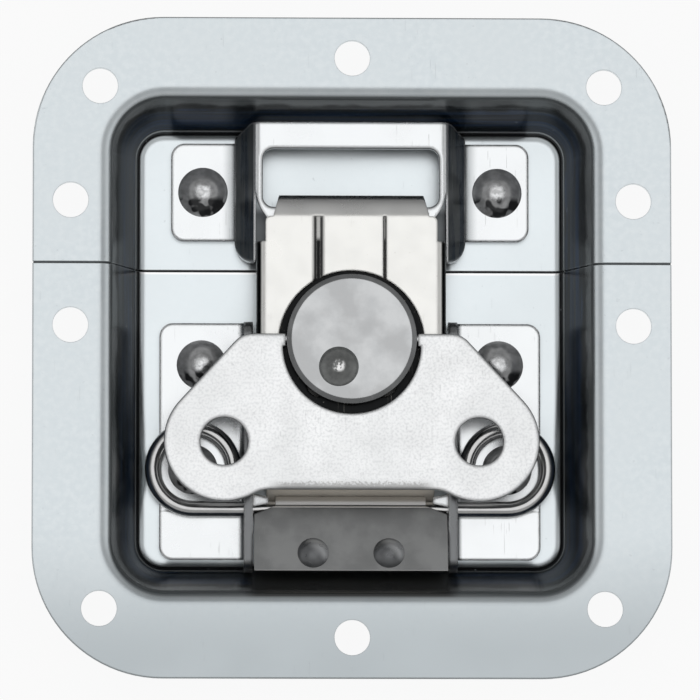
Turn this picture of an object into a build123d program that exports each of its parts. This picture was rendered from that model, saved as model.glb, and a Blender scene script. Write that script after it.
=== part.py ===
from build123d import *
import os
from math import cos, radians, sin, tan

# Recessed butterfly case latch, in millimetres. The origin is the centre of the corner mounting holes on the
# back face of the flange: +X to the right, +Y towards the lid, +Z out of the case.
os.makedirs("parts", exist_ok=True)

# Pressed dish, parted into a lid half and a body half
flange_width = 106.0
flange_length = 110.0
flange_corner_radius = 21.6
dish_sheet = 1.2
dish_depth = 14.0
mouth_width = 80.8
mouth_length = 83.0
mouth_corner_radius = 9.4
mouth_bend_radius = 2.8
floor_bend_radius = 1.8
wall_draft = 20.4
recess_offset_y = 0.5
parting_y = 14.0
sheared_edge = 0.25
parting_break = 0.2

# Mounting holes in the flange, set in from its edges
mounting_hole_diameter = 5.9
corner_hole_inset_x = 11.15
corner_hole_inset_y = 11.55
end_hole_inset = 6.8
side_hole_inset = 6.3
side_hole_from_parting = 10.4

# Rivets that hold the fittings to the dish
rivet_head_diameter = 8.3
rivet_head_height = 2.3
rivet_shank_diameter = 4.8
rivet_tail_diameter = 7.0
rivet_tail_height = 0.9

# Base brackets: the moving parts work in the channel between their walls
bracket_sheet = 1.5
bracket_foot_width = 14.0
bracket_bend_radius = 0.8
bracket_top_y = 5.1
bracket_wall_height = 5.0
bracket_foot_corner = 2.2
bracket_foot_edge_gap = 3.4
bracket_foot_end_gap = 1.3
bracket_wall_past_foot = 2.4
bracket_wall_corner = 2.4
upper_rivet_from_top = 7.0
ear_reach = 2.6
ear_length = 2.2
ear_height = 1.5
ear_draft = 12.0
ear_from_wire = 1.3
ear_above_wire = 0.15

# Keeper on the lid half
keeper_sheet = 1.5
keeper_hook_gap = 0.8
keeper_top_bend_radius = 1.6
keeper_foot_bend_radius = 0.8
keeper_wall_run = 3.5
keeper_foot_edge_gap = 5.3
keeper_foot_end_gap = 1.5
keeper_foot_length = 16.4
keeper_foot_corner = 2.2
keeper_roof_overhang = 3.0
keeper_slot_edge_radius = 0.5
keeper_upper_bar = 4.4
keeper_slot_length = 9.8
keeper_slot_corner = 1.8
keeper_slot_side_gap = 1.7
keeper_from_parting = 0.9
keeper_neck = 2.2
keeper_neck_run = 5.6
keeper_neck_below_slot = 2.2
keeper_neck_cut = 0.1

# Wire spring
wire_diameter = 2.7
wire_from_floor_end = 9.7
eye_edge_gap = 0.95
eye_wall_gap = 0.35
eye_turn = 285.0

# Running clearances
bearing_gap = 0.05
slide_gap = 0.1
side_gap = 0.2

# Hook plate
hook_sheet = 1.6
hook_top_z = -3.0
hook_side_inset = 0.5
hook_side_bend_radius = 1.9
hook_flat_inset = 1.5
hook_side_lip = 2.2
hook_side_lip_from_bar = 6.0
hook_end_from_pivot = 14.6
hook_tip_run = 3.7
hook_tip_slope = 16.0
hook_tip_fold_radius = 1.8
hook_tip_bend_radius = 2.0
hook_tip_depth = 5.0
hook_tip_shoulder = 1.3
hook_tip_taper = 1.0
hook_corner_radius = 0.9
hook_play = 0.3
hook_recess_depth = 0.6
hook_recess_gap = 1.35
hook_recess_drop = 0.6
groove_depth = 0.5
wide_groove_x = -5.5
wide_groove_width = 2.0
wide_groove_floor = 0.6
narrow_groove_x = 5.55
narrow_groove_width = 0.6
narrow_groove_floor = 0.2
window_gap = 0.3

# Cam disc, its axle and the crank pin
pivot_y = 1.6
disc_radius = 10.8
disc_height = 2.25
disc_gap = 0.15
disc_bevel_width = 0.8
disc_bevel_height = 0.4
axle_shoulder_radius = 2.8
axle_radius = 2.2
axle_head_radius = 3.4
axle_head_height = 0.8
axle_washer_radius = 5.0
axle_washer_thickness = 0.8
crank_radius = 5.15
crank_past_dead_centre = 25.0
crank_head_radius = 3.3
crank_head_height = 1.6
crank_pin_radius = 1.3
crank_roller_radius = 2.0
hook_stroke = 7.6
crank_slack = 2.6

# Wing
wing_sheet = 1.6
wing_drop = 1.05
wing_mouth_gap = 3.2
wing_lobe_radius = 10.0
wing_lobe_angle = 38.9
wing_lobe_hole_radius = 3.95
wing_waist = 2.0
wing_waist_radius = 6.0
wing_shoulder_half_width = 18.2
wing_shoulder_radius = 4.0
wing_above_axis = 0.85
wing_below_axis = 1.25
wing_cutout_gap = 0.6
wing_cutout_drop = 1.0
wing_tab_gap = 0.15
wing_tab_width = 2.0
wing_edge_radius = 0.45
trunnion_radius = 0.6
trunnion_length = 2.2

# Carrier plate and wire clamp, which turn together on the wire
carrier_sheet = 1.2
carrier_top_from_pivot = 10.4
carrier_slope = 50.0
carrier_bend_radius = 3.0
carrier_corner_radius = 3.0
tail_bend_radius = 1.0
tail_rise = 15.0
tail_length = 10.0
clamp_length = 11.7
clamp_overlap = 0.3
clamp_edge_radius = 0.3
clamp_end_break = 0.5
clamp_lip_sheet = 0.8
clamp_lip_turn = 54.0
clamp_corner_run = 3.6
clamp_corner_drop = 1.5
clamp_rivet_offset = 6.3
clamp_rivet_from_wire = 8.6
clamp_rivet_head_radius = 2.6
clamp_rivet_head_height = 1.4
clamp_rivet_radius = 1.5
clamp_rivet_tail_radius = 2.4
clamp_rivet_tail_height = 0.8

# Dish: levels, floor edges and hole spacings
floor_z = dish_sheet - dish_depth
floor_run = dish_depth * tan(radians(wall_draft))
wall_growth = dish_sheet * (1 - sin(radians(wall_draft))) / cos(radians(wall_draft))
floor_half_width = mouth_width / 2 - floor_run
floor_half_length = mouth_length / 2 - floor_run
floor_corner_radius = mouth_corner_radius - floor_run
floor_lid_end = recess_offset_y + floor_half_length
floor_body_end = recess_offset_y - floor_half_length
corner_hole_spacing_x = flange_width - 2 * corner_hole_inset_x
corner_hole_spacing_y = flange_length - 2 * corner_hole_inset_y
end_hole_spacing = flange_length - 2 * end_hole_inset
side_hole_spacing_x = flange_width - 2 * side_hole_inset

# Brackets and wire: levels and edges
bracket_foot_top = floor_z + bracket_sheet
bracket_foot_edge = floor_half_width - bracket_foot_edge_gap
bracket_outer = bracket_foot_edge - bracket_foot_width
bracket_inner = bracket_outer - bracket_sheet
bracket_foot_end = floor_body_end + bracket_foot_end_gap
bracket_wall_end = bracket_foot_end - bracket_wall_past_foot
wire_radius = wire_diameter / 2
wire_y = floor_body_end + wire_from_floor_end
wire_z = bracket_foot_top + wire_radius
eye_outer = floor_half_width - eye_edge_gap
eye_inner = bracket_outer + eye_wall_gap
eye_x = (eye_outer + eye_inner) / 2
eye_radius = (eye_outer - eye_inner) / 2 - wire_radius
eye_y = wire_y + eye_radius
upper_rivet_y = bracket_top_y - upper_rivet_from_top
bracket_rivet_places = [((bracket_foot_edge + bracket_outer) / 2, upper_rivet_y), (eye_x, eye_y)]

# Hook plate and cam: levels and edges
hook_half_width = bracket_inner - hook_side_inset
hook_flat_half_width = hook_half_width - hook_flat_inset
hook_under_z = hook_top_z - hook_sheet
hook_recess_y = pivot_y - hook_recess_drop
hook_recess_radius = disc_radius + hook_recess_gap
disc_under_z = hook_top_z + disc_gap
disc_top_z = disc_under_z + disc_height
wing_z = disc_top_z - wing_drop
carrier_top_z = hook_under_z - slide_gap
carrier_under_z = carrier_top_z - carrier_sheet
carrier_half_width = hook_half_width - hook_sheet - side_gap
carrier_top_y = pivot_y + carrier_top_from_pivot
washer_under_z = carrier_under_z - axle_washer_thickness
crank_x = -crank_radius * sin(radians(crank_past_dead_centre))
crank_y = pivot_y - crank_radius * cos(radians(crank_past_dead_centre))

# Tail: the plane that the clamp and the carrier's tail meet on
clamp_half_width = bracket_inner - side_gap
tail_normal = (0, sin(radians(tail_rise)), cos(radians(tail_rise)))
wire_reach = wire_radius + bearing_gap
clamp_seat = Plane(
    origin=(0, wire_y + wire_reach * tail_normal[1], wire_z + wire_reach * tail_normal[2]),
    x_dir=(1, 0, 0),
    z_dir=tail_normal,
)

# Wing: lobe centres and cut-out
lobe_distance = mouth_width / 2 - wing_mouth_gap - wing_lobe_radius
lobe_x = lobe_distance * cos(radians(wing_lobe_angle))
lobe_y = pivot_y - lobe_distance * sin(radians(wing_lobe_angle))
cutout_radius = disc_radius + wing_cutout_gap
cutout_y = pivot_y - wing_cutout_drop

# Keeper: levels and edges
keeper_foot_top = floor_z + keeper_sheet
keeper_top_z = hook_under_z - keeper_hook_gap
keeper_half_width = hook_half_width
keeper_neck_half_width = keeper_half_width - keeper_neck
keeper_neck_outer = keeper_half_width + keeper_neck_cut
keeper_wall_foot = keeper_half_width + keeper_wall_run
keeper_foot_edge = floor_half_width - keeper_foot_edge_gap
keeper_foot_end = floor_lid_end - keeper_foot_end_gap
keeper_foot_start = keeper_foot_end - keeper_foot_length
keeper_end = keeper_foot_end + keeper_roof_overhang
keeper_bar_end = parting_y + keeper_from_parting
keeper_slot_end = keeper_end - keeper_upper_bar
keeper_slot_start = keeper_slot_end - keeper_slot_length
keeper_neck_y = keeper_slot_start - keeper_neck_below_slot
keeper_rivet_x = (keeper_foot_edge + keeper_wall_foot) / 2
keeper_rivet_y = (keeper_foot_start + keeper_foot_end) / 2
hook_tip_half_width = hook_flat_half_width - hook_tip_shoulder
keeper_slot_half_width = hook_tip_half_width + keeper_slot_side_gap


def write(builder, name):
    """Name the finished piece and save it."""
    builder.part.label = name
    export_step(builder.part, f"parts/{name}.step")


def sheet_section(plane, points, radius, thickness, side):
    """The section of a folded sheet: one face of it runs through the points, with rounded folds."""
    with BuildSketch(plane) as section:
        with BuildLine():
            FilletPolyline(*points, radius=radius)
            offset(amount=thickness, side=side)
        make_face()
    return section.sketch


def rivet(seat, head_radius, head_height, shank_radius, stack, tail_radius, tail_height):
    """A dome-headed rivet on a seat plane. Its shank fills the hole through the stack, spread at its end."""
    section_plane = Plane(origin=seat.origin, x_dir=seat.x_dir, z_dir=-seat.y_dir)
    tail_bottom = -stack - tail_height
    tail_land = tail_radius - tail_height / 2
    with BuildPart() as piece:
        with BuildSketch(section_plane):
            with BuildLine():
                TangentArc((0, head_height), (head_radius, 0), tangent=(1, 0))
                Polyline((head_radius, 0), (shank_radius, 0), (shank_radius, -stack), (tail_radius, -stack))
                Polyline((tail_radius, -stack), (tail_land, tail_bottom), (0, tail_bottom), (0, head_height))
            make_face()
        revolve(axis=Axis(seat.origin, seat.z_dir))
    return piece


# Dish: one pressing for both halves, with a drafted wall and soft bends
with BuildPart() as pressed_dish:
    with BuildSketch(Plane.XY):
        RectangleRounded(flange_width, flange_length, flange_corner_radius)
    extrude(amount=dish_sheet)
    with BuildSketch(Plane.XY.offset(-dish_depth)):
        with Locations((0, recess_offset_y)):
            RectangleRounded(
                2 * (floor_half_width + wall_growth),
                2 * (floor_half_length + wall_growth),
                floor_corner_radius + wall_growth,
            )
    extrude(amount=dish_depth, taper=-wall_draft)
    with BuildSketch(Plane.XY.offset(floor_z)):
        with Locations((0, recess_offset_y)):
            RectangleRounded(2 * floor_half_width, 2 * floor_half_length, floor_corner_radius)
    extrude(amount=dish_depth, taper=-wall_draft, mode=Mode.SUBTRACT)

    flange_top = pressed_dish.faces().sort_by(Axis.Z)[-1]
    fillet(flange_top.inner_wires()[0].edges(), mouth_bend_radius)
    flange_back = pressed_dish.faces().filter_by(Plane.XY).sort_by(Axis.Z)[-2]
    fillet(flange_back.inner_wires()[0].edges(), mouth_bend_radius - dish_sheet)
    floor_top = pressed_dish.faces().filter_by(Plane.XY).sort_by(Axis.Z)[1]
    fillet(floor_top.outer_wire().edges(), floor_bend_radius)
    floor_back = pressed_dish.faces().sort_by(Axis.Z)[0]
    fillet(floor_back.outer_wire().edges(), floor_bend_radius + dish_sheet)
    flange_top = pressed_dish.faces().sort_by(Axis.Z)[-1]
    fillet(flange_top.outer_wire().edges(), sheared_edge)

    with BuildSketch(Plane.XY.offset(dish_sheet)):
        with GridLocations(corner_hole_spacing_x, corner_hole_spacing_y, 2, 2):
            Circle(mounting_hole_diameter / 2)
        with GridLocations(0, end_hole_spacing, 1, 2):
            Circle(mounting_hole_diameter / 2)
        with Locations((0, parting_y)):
            with GridLocations(side_hole_spacing_x, 2 * side_hole_from_parting, 2, 2):
                Circle(mounting_hole_diameter / 2)
    extrude(amount=-dish_sheet, mode=Mode.SUBTRACT)

parting_plane = Plane.XZ.offset(-parting_y)

with BuildPart() as lid_dish:
    add(pressed_dish.part)
    split(bisect_by=parting_plane, keep=Keep.BOTTOM)
    cut_edges = lid_dish.edges().filter_by_position(Axis.Y, parting_y - 0.01, parting_y + 0.01)
    chamfer(cut_edges.filter_by(lambda edge: edge.length > dish_sheet + 0.01), parting_break)
    with BuildSketch(Plane.XY.offset(floor_z)):
        with Locations((0, keeper_rivet_y)):
            with GridLocations(2 * keeper_rivet_x, 0, 2, 1):
                Circle(rivet_shank_diameter / 2)
    extrude(amount=-dish_sheet, mode=Mode.SUBTRACT)
write(lid_dish, "lid_dish")

with BuildPart() as body_dish:
    add(pressed_dish.part)
    split(bisect_by=parting_plane, keep=Keep.TOP)
    cut_edges = body_dish.edges().filter_by_position(Axis.Y, parting_y - 0.01, parting_y + 0.01)
    chamfer(cut_edges.filter_by(lambda edge: edge.length > dish_sheet + 0.01), parting_break)
    with BuildSketch(Plane.XY.offset(floor_z)):
        with Locations(*bracket_rivet_places, *[(-x, y) for x, y in bracket_rivet_places]):
            Circle(rivet_shank_diameter / 2)
    extrude(amount=-dish_sheet, mode=Mode.SUBTRACT)
write(body_dish, "body_dish")


# Keeper: a hat-shaped bracket on the lid half, with a slot that the hook drops into
with BuildPart() as keeper:
    keeper_fold = [
        (-keeper_foot_edge, keeper_foot_top),
        (-keeper_wall_foot, keeper_foot_top),
        (-keeper_half_width, keeper_top_z),
        (keeper_half_width, keeper_top_z),
        (keeper_wall_foot, keeper_foot_top),
        (keeper_foot_edge, keeper_foot_top),
    ]
    half_folds = [keeper_foot_bend_radius, keeper_top_bend_radius]
    keeper_section = sheet_section(
        Plane.XZ.offset(-keeper_end), keeper_fold, half_folds + half_folds[::-1], keeper_sheet, Side.RIGHT
    )
    extrude(keeper_section, amount=keeper_end - keeper_bar_end)
    with BuildSketch(Plane.XY.offset(floor_z)):
        with Locations((0, keeper_rivet_y)):
            RectangleRounded(2 * keeper_foot_edge, keeper_foot_length, keeper_foot_corner)
        with BuildLine():
            Line((0, keeper_end), (keeper_half_width, keeper_end))
            EllipticalCenterArc((keeper_half_width, keeper_foot_end), keeper_wall_run, keeper_roof_overhang)
            Line((keeper_wall_foot, keeper_foot_end), (keeper_wall_foot, keeper_foot_start))
            EllipticalCenterArc(
                (keeper_half_width, keeper_foot_start),
                keeper_wall_run,
                keeper_foot_start - keeper_bar_end,
                start_angle=-90,
            )
            Line((keeper_half_width, keeper_bar_end), (0, keeper_bar_end))
            mirror(about=Plane.YZ)
        make_face()
    extrude(amount=keeper_top_z - floor_z, mode=Mode.INTERSECT)

    with BuildSketch(Plane.YZ):
        with BuildLine():
            Polyline(
                (keeper_foot_end, floor_z),
                (keeper_end, keeper_top_z - keeper_sheet),
                (keeper_end, floor_z),
                close=True,
            )
        make_face()
    extrude(amount=keeper_wall_foot, both=True, mode=Mode.SUBTRACT)

    # The bar under the hook plate is necked in, and stands clear of the walls
    with BuildSketch(Plane.XY.offset(keeper_top_z)):
        with BuildLine():
            TangentArc(
                (keeper_neck_outer, keeper_neck_y + keeper_neck_run),
                (keeper_neck_half_width, keeper_neck_y),
                tangent=(0, -1),
            )
            Polyline(
                (keeper_neck_half_width, keeper_neck_y),
                (keeper_neck_half_width, keeper_bar_end),
                (keeper_neck_outer, keeper_bar_end),
                (keeper_neck_outer, keeper_neck_y + keeper_neck_run),
            )
        make_face()
        mirror(about=Plane.YZ)
    extrude(amount=-2 * keeper_sheet, mode=Mode.SUBTRACT)
    with BuildSketch(Plane.XY.offset(keeper_top_z)):
        with Locations((0, (keeper_slot_start + keeper_slot_end) / 2)):
            RectangleRounded(2 * keeper_slot_half_width, keeper_slot_length, keeper_slot_corner)
    extrude(amount=-2 * keeper_sheet, mode=Mode.SUBTRACT)
    slot_rim = keeper.faces().filter_by(Plane.XY).sort_by(Axis.Z)[-1].inner_wires()[0].edges()
    fillet(slot_rim, keeper_slot_edge_radius)
    with BuildSketch(Plane.XY.offset(keeper_foot_top)):
        with Locations((0, keeper_rivet_y)):
            with GridLocations(2 * keeper_rivet_x, 0, 2, 1):
                Circle(rivet_shank_diameter / 2)
    extrude(amount=-keeper_sheet, mode=Mode.SUBTRACT)
write(keeper, "keeper")


# Base brackets: a foot riveted to the dish, a wall that holds the wire, and a small ear over it
for side_name, hand in (("left", -1), ("right", 1)):
    with BuildPart() as bracket:
        bracket_fold = [
            (bracket_foot_edge, bracket_foot_top),
            (bracket_outer, bracket_foot_top),
            (bracket_outer, bracket_foot_top + bracket_wall_height),
        ]
        section = sheet_section(
            Plane.XZ.offset(-bracket_top_y), bracket_fold, bracket_bend_radius, bracket_sheet, Side.LEFT
        )
        extrude(section, amount=bracket_top_y - bracket_wall_end)
        with BuildSketch(Plane.XY.offset(floor_z)):
            with Locations(((bracket_foot_edge + bracket_inner) / 2, (bracket_top_y + bracket_foot_end) / 2)):
                foot_outline = Rectangle(bracket_foot_edge - bracket_inner, bracket_top_y - bracket_foot_end)
            fillet(foot_outline.vertices().group_by(Axis.X)[-1], bracket_foot_corner)
            with BuildLine():
                Polyline(
                    (bracket_inner, bracket_wall_end),
                    (bracket_outer, bracket_wall_end),
                    (bracket_outer, bracket_foot_end),
                    (bracket_inner, bracket_foot_end),
                    close=True,
                )
            make_face()
        extrude(amount=2 * bracket_wall_height, mode=Mode.INTERSECT)
        with BuildSketch(Plane.YZ):
            with BuildLine():
                Polyline(
                    (bracket_foot_end, floor_z),
                    (bracket_wall_end, bracket_foot_top + bracket_wall_height / 2),
                    (bracket_wall_end, floor_z),
                    close=True,
                )
            make_face()
            with Locations((wire_y, wire_z)):
                Circle(wire_radius + bearing_gap)
        extrude(amount=bracket_foot_edge, mode=Mode.SUBTRACT)
        with BuildSketch(Plane.XY.offset(bracket_foot_top)):
            with Locations(*bracket_rivet_places):
                Circle(rivet_shank_diameter / 2)
        extrude(amount=-bracket_sheet, mode=Mode.SUBTRACT)
        wall_top = bracket.edges().filter_by(Axis.X).group_by(Axis.Z)[-1]
        fillet(wall_top, bracket_wall_corner)
        with BuildSketch(Plane.YZ.offset(bracket_inner)):
            with Locations((wire_y + ear_from_wire, wire_z + wire_radius + ear_above_wire)):
                Rectangle(ear_length, ear_height, align=(Align.CENTER, Align.MIN))
        extrude(amount=-ear_reach, taper=ear_draft)
        if hand < 0:
            mirror(about=Plane.YZ, mode=Mode.REPLACE)
    write(bracket, f"base_bracket_{side_name}")


# Rivets through the feet and the dish
for side_name, hand in (("left", -1), ("right", 1)):
    rivet_seats = {
        f"keeper_rivet_{side_name}": (keeper_rivet_x, keeper_rivet_y, keeper_foot_top),
        f"bracket_rivet_{side_name}_upper": (*bracket_rivet_places[0], bracket_foot_top),
        f"bracket_rivet_{side_name}_lower": (*bracket_rivet_places[1], bracket_foot_top),
    }
    for name, (x, y, seat_z) in rivet_seats.items():
        dish_rivet = rivet(
            Plane((hand * x, y, seat_z)),
            rivet_head_diameter / 2,
            rivet_head_height,
            rivet_shank_diameter / 2,
            seat_z + dish_depth,
            rivet_tail_diameter / 2,
            rivet_tail_height,
        )
        write(dish_rivet, name)


# Wire spring: a straight bar through both brackets, with an open eye round each lower rivet
with BuildPart() as wire_spring:
    with BuildLine(Plane.XY.offset(wire_z)) as wire_path:
        Line((-eye_x, wire_y), (eye_x, wire_y))
        CenterArc((eye_x, eye_y), eye_radius, -90, eye_turn)
        CenterArc((-eye_x, eye_y), eye_radius, -90, -eye_turn)
    with BuildSketch(Plane.YZ):
        with Locations((wire_y, wire_z)):
            Circle(wire_radius)
    sweep(path=wire_path.wires()[0])
write(wire_spring, "wire_spring")


# Carrier plate: flat under the hook plate, then down round the wire and up into its tail
with BuildPart() as carrier_plate:
    carrier_middle_z = carrier_top_z - carrier_sheet / 2
    slope = radians(carrier_slope)
    rise = radians(tail_rise)
    dip_radius = wire_radius + bearing_gap + carrier_sheet / 2
    slope_point = (wire_y + dip_radius * sin(slope), wire_z - dip_radius * cos(slope))
    slope_run = (carrier_middle_z - slope_point[1]) / tan(slope)
    dip_back_y = wire_y - dip_radius
    dip_corner_z = slope_point[1] - (slope_point[0] - dip_back_y) * tan(slope)
    tail_lift = wire_radius + bearing_gap - carrier_sheet / 2
    tail_start = (wire_y + tail_lift * sin(rise), wire_z + tail_lift * cos(rise))
    tail_corner_z = tail_start[1] + (tail_start[0] - dip_back_y) * tan(rise)
    tail_end = (tail_start[0] - tail_length * cos(rise), tail_start[1] + tail_length * sin(rise))
    with BuildSketch(Plane.YZ):
        with BuildLine():
            FilletPolyline(
                (carrier_top_y, carrier_middle_z),
                (slope_point[0] + slope_run, carrier_middle_z),
                (dip_back_y, dip_corner_z),
                (dip_back_y, tail_corner_z),
                tail_end,
                radius=[carrier_bend_radius, dip_radius, tail_bend_radius],
            )
        trace(line_width=carrier_sheet)
    extrude(amount=carrier_half_width, both=True)
    fillet(carrier_plate.edges().filter_by(Axis.Z).group_by(Axis.Y)[-1], carrier_corner_radius)
    with Locations((0, pivot_y, carrier_top_z)):
        Hole(axle_radius + bearing_gap, depth=2 * carrier_sheet)
    with BuildSketch(clamp_seat):
        with Locations((0, -clamp_rivet_from_wire)):
            with GridLocations(2 * clamp_rivet_offset, 0, 2, 1):
                Circle(clamp_rivet_radius)
    extrude(amount=-carrier_sheet, mode=Mode.SUBTRACT)
write(carrier_plate, "carrier_plate")


# Wire clamp: a plate riveted on the tail, which shuts the wire in
with BuildPart() as wire_clamp:
    with BuildSketch(clamp_seat):
        with BuildLine():
            Polyline(
                (-clamp_half_width, -clamp_length),
                (-clamp_half_width, -clamp_overlap - clamp_corner_drop),
                (-clamp_half_width + clamp_corner_run, -clamp_overlap),
                (clamp_half_width - clamp_corner_run, -clamp_overlap),
                (clamp_half_width, -clamp_overlap - clamp_corner_drop),
                (clamp_half_width, -clamp_length),
                close=True,
            )
        make_face()
        with Locations((0, -clamp_rivet_from_wire)):
            with GridLocations(2 * clamp_rivet_offset, 0, 2, 1):
                Circle(clamp_rivet_radius, mode=Mode.SUBTRACT)
    extrude(amount=carrier_sheet)
    clamp_end = wire_clamp.edges().filter_by(Axis.X).sort_by(Axis.Y)
    fillet(clamp_end[-2:], clamp_edge_radius)
    chamfer(clamp_end[:2].sort_by(Axis.Z)[0], clamp_end_break)

    # Its upper end is thinned and rolled over the wire
    lip_radius = wire_reach + clamp_lip_sheet / 2
    lip_root = clamp_overlap + clamp_edge_radius + clamp_lip_sheet
    lip_end = 90 - tail_rise - clamp_lip_turn
    with BuildSketch(Plane.YZ):
        with BuildLine():
            lip_roll = CenterArc((wire_y, wire_z), lip_radius, lip_end, clamp_lip_turn)
            PolarLine(lip_roll @ 1, lip_root, 180 - tail_rise)
        trace(line_width=clamp_lip_sheet)
    extrude(amount=clamp_half_width - clamp_corner_run, both=True)
write(wire_clamp, "wire_clamp")

for side_name, hand in (("left", -1), ("right", 1)):
    clamp_rivet_place = Location((hand * clamp_rivet_offset, -clamp_rivet_from_wire, carrier_sheet))
    clamp_rivet = rivet(
        Plane(clamp_seat.location * clamp_rivet_place),
        clamp_rivet_head_radius,
        clamp_rivet_head_height,
        clamp_rivet_radius,
        2 * carrier_sheet,
        clamp_rivet_tail_radius,
        clamp_rivet_tail_height,
    )
    write(clamp_rivet, f"clamp_rivet_{side_name}")


# Hook plate: slides on the carrier, its tip turned down into the keeper's slot
with BuildPart() as hook_plate:
    lip_outer_y = keeper_slot_start + hook_play + hook_sheet
    bend_start_y = lip_outer_y - hook_tip_run
    tip_edge_z = hook_top_z - hook_tip_run * tan(radians(hook_tip_slope))
    hook_end_y = pivot_y - hook_end_from_pivot
    side_lip_end_y = keeper_slot_start - hook_side_lip_from_bar
    tip_fold = [
        (side_lip_end_y, hook_top_z),
        (bend_start_y, hook_top_z),
        (lip_outer_y, tip_edge_z),
        (lip_outer_y, hook_top_z - hook_tip_depth),
    ]
    tip_radii = [hook_tip_fold_radius, hook_tip_bend_radius]
    tip_section = sheet_section(Plane.YZ, tip_fold, tip_radii, hook_sheet, Side.RIGHT)
    extrude(tip_section, amount=hook_flat_half_width, both=True)
    with BuildSketch(Plane.XY.offset(hook_top_z)):
        with BuildLine():
            Polyline(
                (hook_tip_half_width, bend_start_y),
                (hook_tip_half_width - hook_tip_taper, lip_outer_y),
                (hook_half_width, lip_outer_y),
                (hook_half_width, bend_start_y),
                close=True,
            )
        make_face()
        mirror(about=Plane.YZ)
    extrude(amount=-hook_tip_depth, mode=Mode.SUBTRACT)
    lip_levels = [
        (-hook_half_width, hook_top_z - hook_side_lip),
        (-hook_half_width, hook_top_z),
        (hook_half_width, hook_top_z),
        (hook_half_width, hook_top_z - hook_side_lip),
    ]
    lip_section = sheet_section(
        Plane.XZ.offset(-side_lip_end_y), lip_levels, hook_side_bend_radius, hook_sheet, Side.RIGHT
    )
    extrude(lip_section, amount=side_lip_end_y - hook_end_y)
    bend_start_edges = hook_plate.edges().filter_by(Axis.Z).filter_by_position(
        Axis.Y, bend_start_y - 0.01, bend_start_y + 0.01
    )
    shoulders = bend_start_edges.group_by(Axis.X)
    fillet(shoulders[0] + shoulders[-1], hook_corner_radius)

    # Window for the axle's stroke and the crank pin's sweep
    with BuildSketch(Plane.XY.offset(hook_top_z)):
        with Locations((0, pivot_y - hook_stroke / 2)):
            SlotCenterToCenter(hook_stroke, 2 * (axle_shoulder_radius + window_gap), rotation=90)
        with Locations((0, crank_y - crank_slack / 2)):
            RectangleRounded(
                2 * (crank_radius + crank_roller_radius + window_gap),
                crank_slack + 2 * (crank_roller_radius + slide_gap),
                crank_roller_radius,
            )
    extrude(amount=-hook_sheet, mode=Mode.SUBTRACT)

    # Two pressed grooves, and a round recess that the disc turns over
    for groove_x, width, floor_width in (
        (wide_groove_x, wide_groove_width, wide_groove_floor),
        (narrow_groove_x, narrow_groove_width, narrow_groove_floor),
    ):
        with BuildSketch(Plane.XZ.offset(-bend_start_y)):
            with BuildLine():
                Polyline(
                    (groove_x - width / 2, hook_top_z),
                    (groove_x + width / 2, hook_top_z),
                    (groove_x + floor_width / 2, hook_top_z - groove_depth),
                    (groove_x - floor_width / 2, hook_top_z - groove_depth),
                    close=True,
                )
            make_face()
        extrude(amount=bend_start_y - hook_recess_y - hook_recess_radius / 2, mode=Mode.SUBTRACT)
    with BuildSketch(Plane.XY.offset(hook_top_z)):
        with Locations((0, hook_recess_y)):
            Circle(hook_recess_radius)
    extrude(amount=-hook_recess_depth, mode=Mode.SUBTRACT)
write(hook_plate, "hook_plate")


# Cam disc: turned in one piece with its axle, which is spread over a washer under the carrier
with BuildPart() as cam_disc:
    with BuildSketch(Plane.XZ.offset(-pivot_y)):
        with BuildLine():
            Polyline(
                (0, disc_top_z),
                (disc_radius - disc_bevel_width, disc_top_z),
                (disc_radius, disc_top_z - disc_bevel_height),
                (disc_radius, disc_under_z),
                (axle_shoulder_radius, disc_under_z),
                (axle_shoulder_radius, carrier_top_z),
                (axle_radius, carrier_top_z),
                (axle_radius, washer_under_z),
                (axle_head_radius, washer_under_z),
                (axle_head_radius - axle_head_height / 2, washer_under_z - axle_head_height),
                (0, washer_under_z - axle_head_height),
                close=True,
            )
        make_face()
    revolve(axis=Axis((0, pivot_y, 0), (0, 0, 1)))
    with BuildSketch(Plane.XY.offset(disc_top_z)):
        with Locations((crank_x, crank_y)):
            Circle(crank_pin_radius)
    extrude(amount=-disc_height, mode=Mode.SUBTRACT)
    for hand in (-1, 1):
        with BuildSketch(Plane.YZ.offset(hand * disc_radius)):
            with Locations((pivot_y, wing_z)):
                Circle(trunnion_radius + bearing_gap)
        extrude(amount=-hand * (trunnion_length + slide_gap), mode=Mode.SUBTRACT)
write(cam_disc, "cam_disc")

with BuildPart() as axle_washer:
    with BuildSketch(Plane.XY.offset(washer_under_z)):
        with Locations((0, pivot_y)):
            Circle(axle_washer_radius)
            Circle(axle_radius, mode=Mode.SUBTRACT)
    extrude(amount=axle_washer_thickness)
write(axle_washer, "axle_washer")


# Crank pin and roller: they drive the hook plate as the disc turns
with BuildPart() as crank_pin:
    with BuildSketch(Plane.XZ.offset(-crank_y)):
        with BuildLine():
            TangentArc(
                (crank_x, disc_top_z + crank_head_height),
                (crank_x + crank_head_radius, disc_top_z),
                tangent=(1, 0),
            )
            Polyline(
                (crank_x + crank_head_radius, disc_top_z),
                (crank_x + crank_pin_radius, disc_top_z),
                (crank_x + crank_pin_radius, hook_under_z),
                (crank_x, hook_under_z),
                (crank_x, disc_top_z + crank_head_height),
            )
        make_face()
    revolve(axis=Axis((crank_x, crank_y, 0), (0, 0, 1)))
write(crank_pin, "crank_pin")

with BuildPart() as crank_roller:
    with BuildSketch(Plane.XY.offset(disc_under_z)):
        with Locations((crank_x, crank_y)):
            Circle(crank_roller_radius)
            Circle(crank_pin_radius, mode=Mode.SUBTRACT)
    extrude(amount=-(disc_gap + hook_sheet))
write(crank_roller, "crank_roller")


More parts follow.
